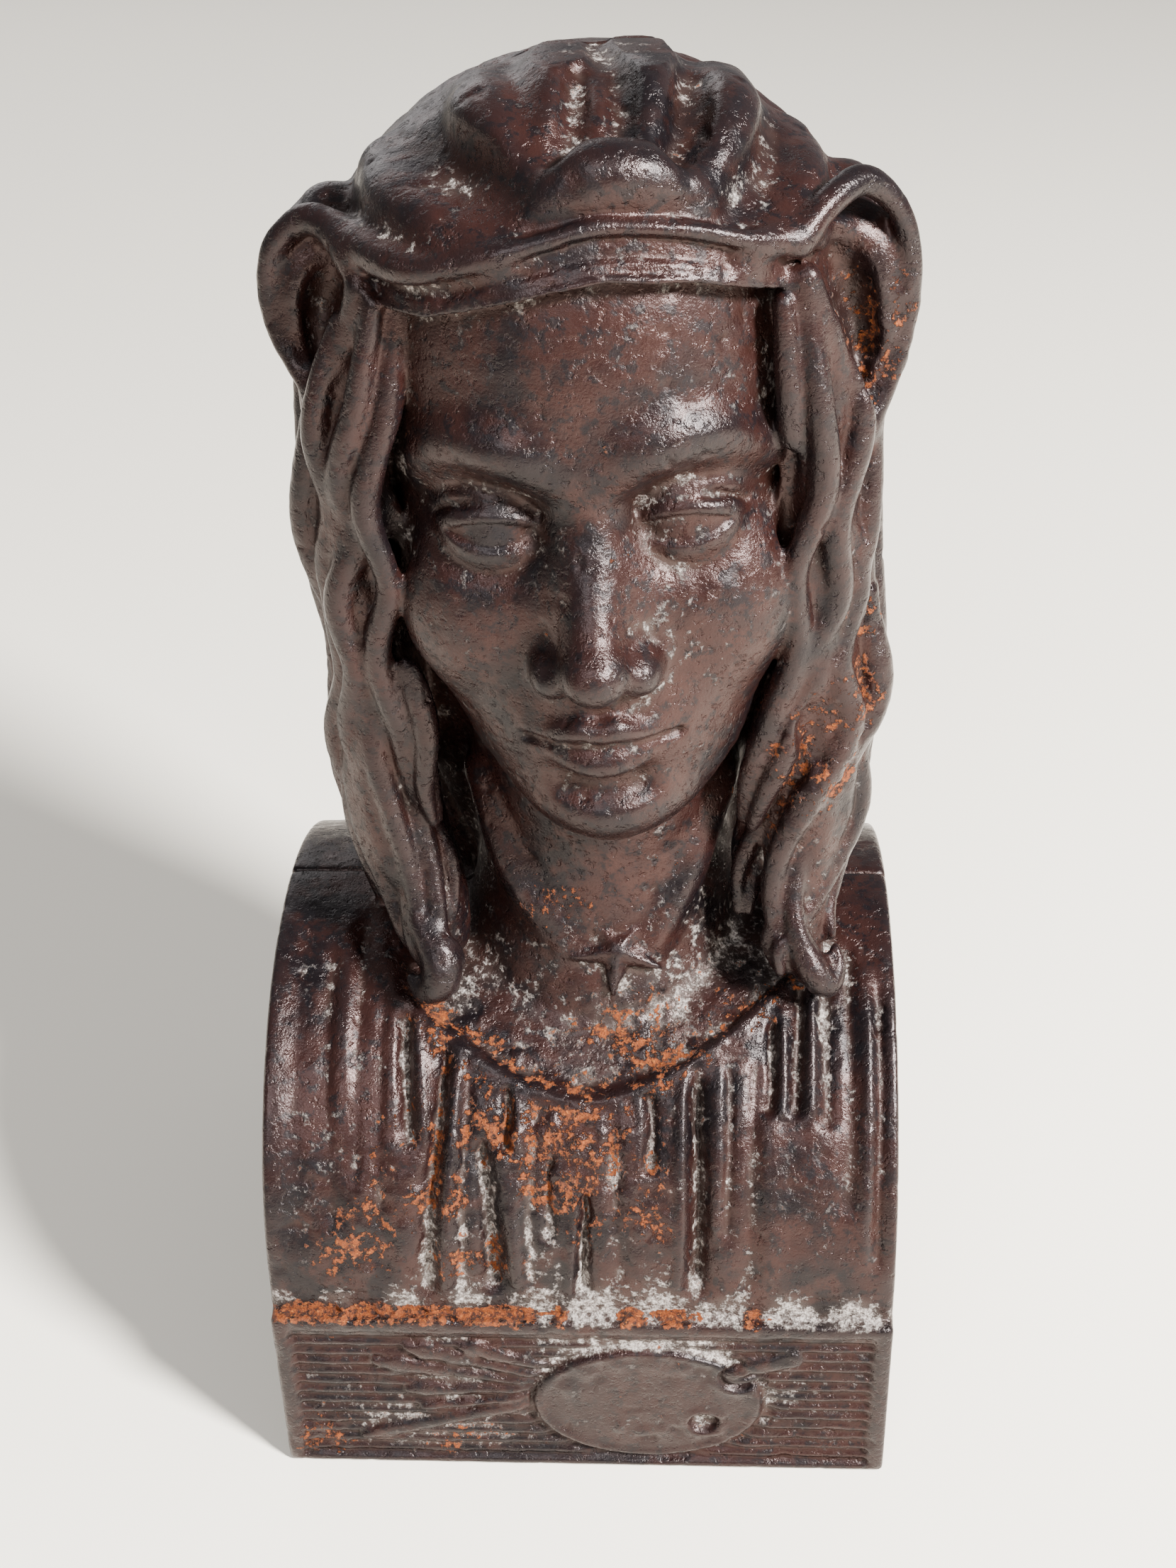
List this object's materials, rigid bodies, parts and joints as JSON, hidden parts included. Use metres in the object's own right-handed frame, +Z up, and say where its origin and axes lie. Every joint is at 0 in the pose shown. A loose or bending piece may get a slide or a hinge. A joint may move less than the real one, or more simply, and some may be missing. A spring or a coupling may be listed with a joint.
{
  "type": "bust paperweight",
  "caption": "Cast-iron desk paperweight shaped as a long-haired bust in a soft cap on a block plinth, made as two cored halves screwed together.",
  "frame": {"origin": "middle of the flat underside", "axes": "+Z up from the plinth to the cap, -Y the way the face looks, +X to a viewer's right"},
  "size_m": [0.055, 0.0576, 0.121],
  "materials": {
    "cast_iron_front": "dark brown patina, rusty folds and pale residue in the hollows, satin on worn high points",
    "cast_iron_back": "dark brown patina with some rust",
    "screw_steel": "darkened steel with rust in the slot",
    "dowel_steel": "plain steel"
  },
  "bodies": {
    "root": {"front_casting": "cast_iron_front", "back_casting": "cast_iron_back", "upper_screw": "screw_steel", "lower_screw": "screw_steel", "locating_dowels": "dowel_steel"}
  },
  "joints": []
}
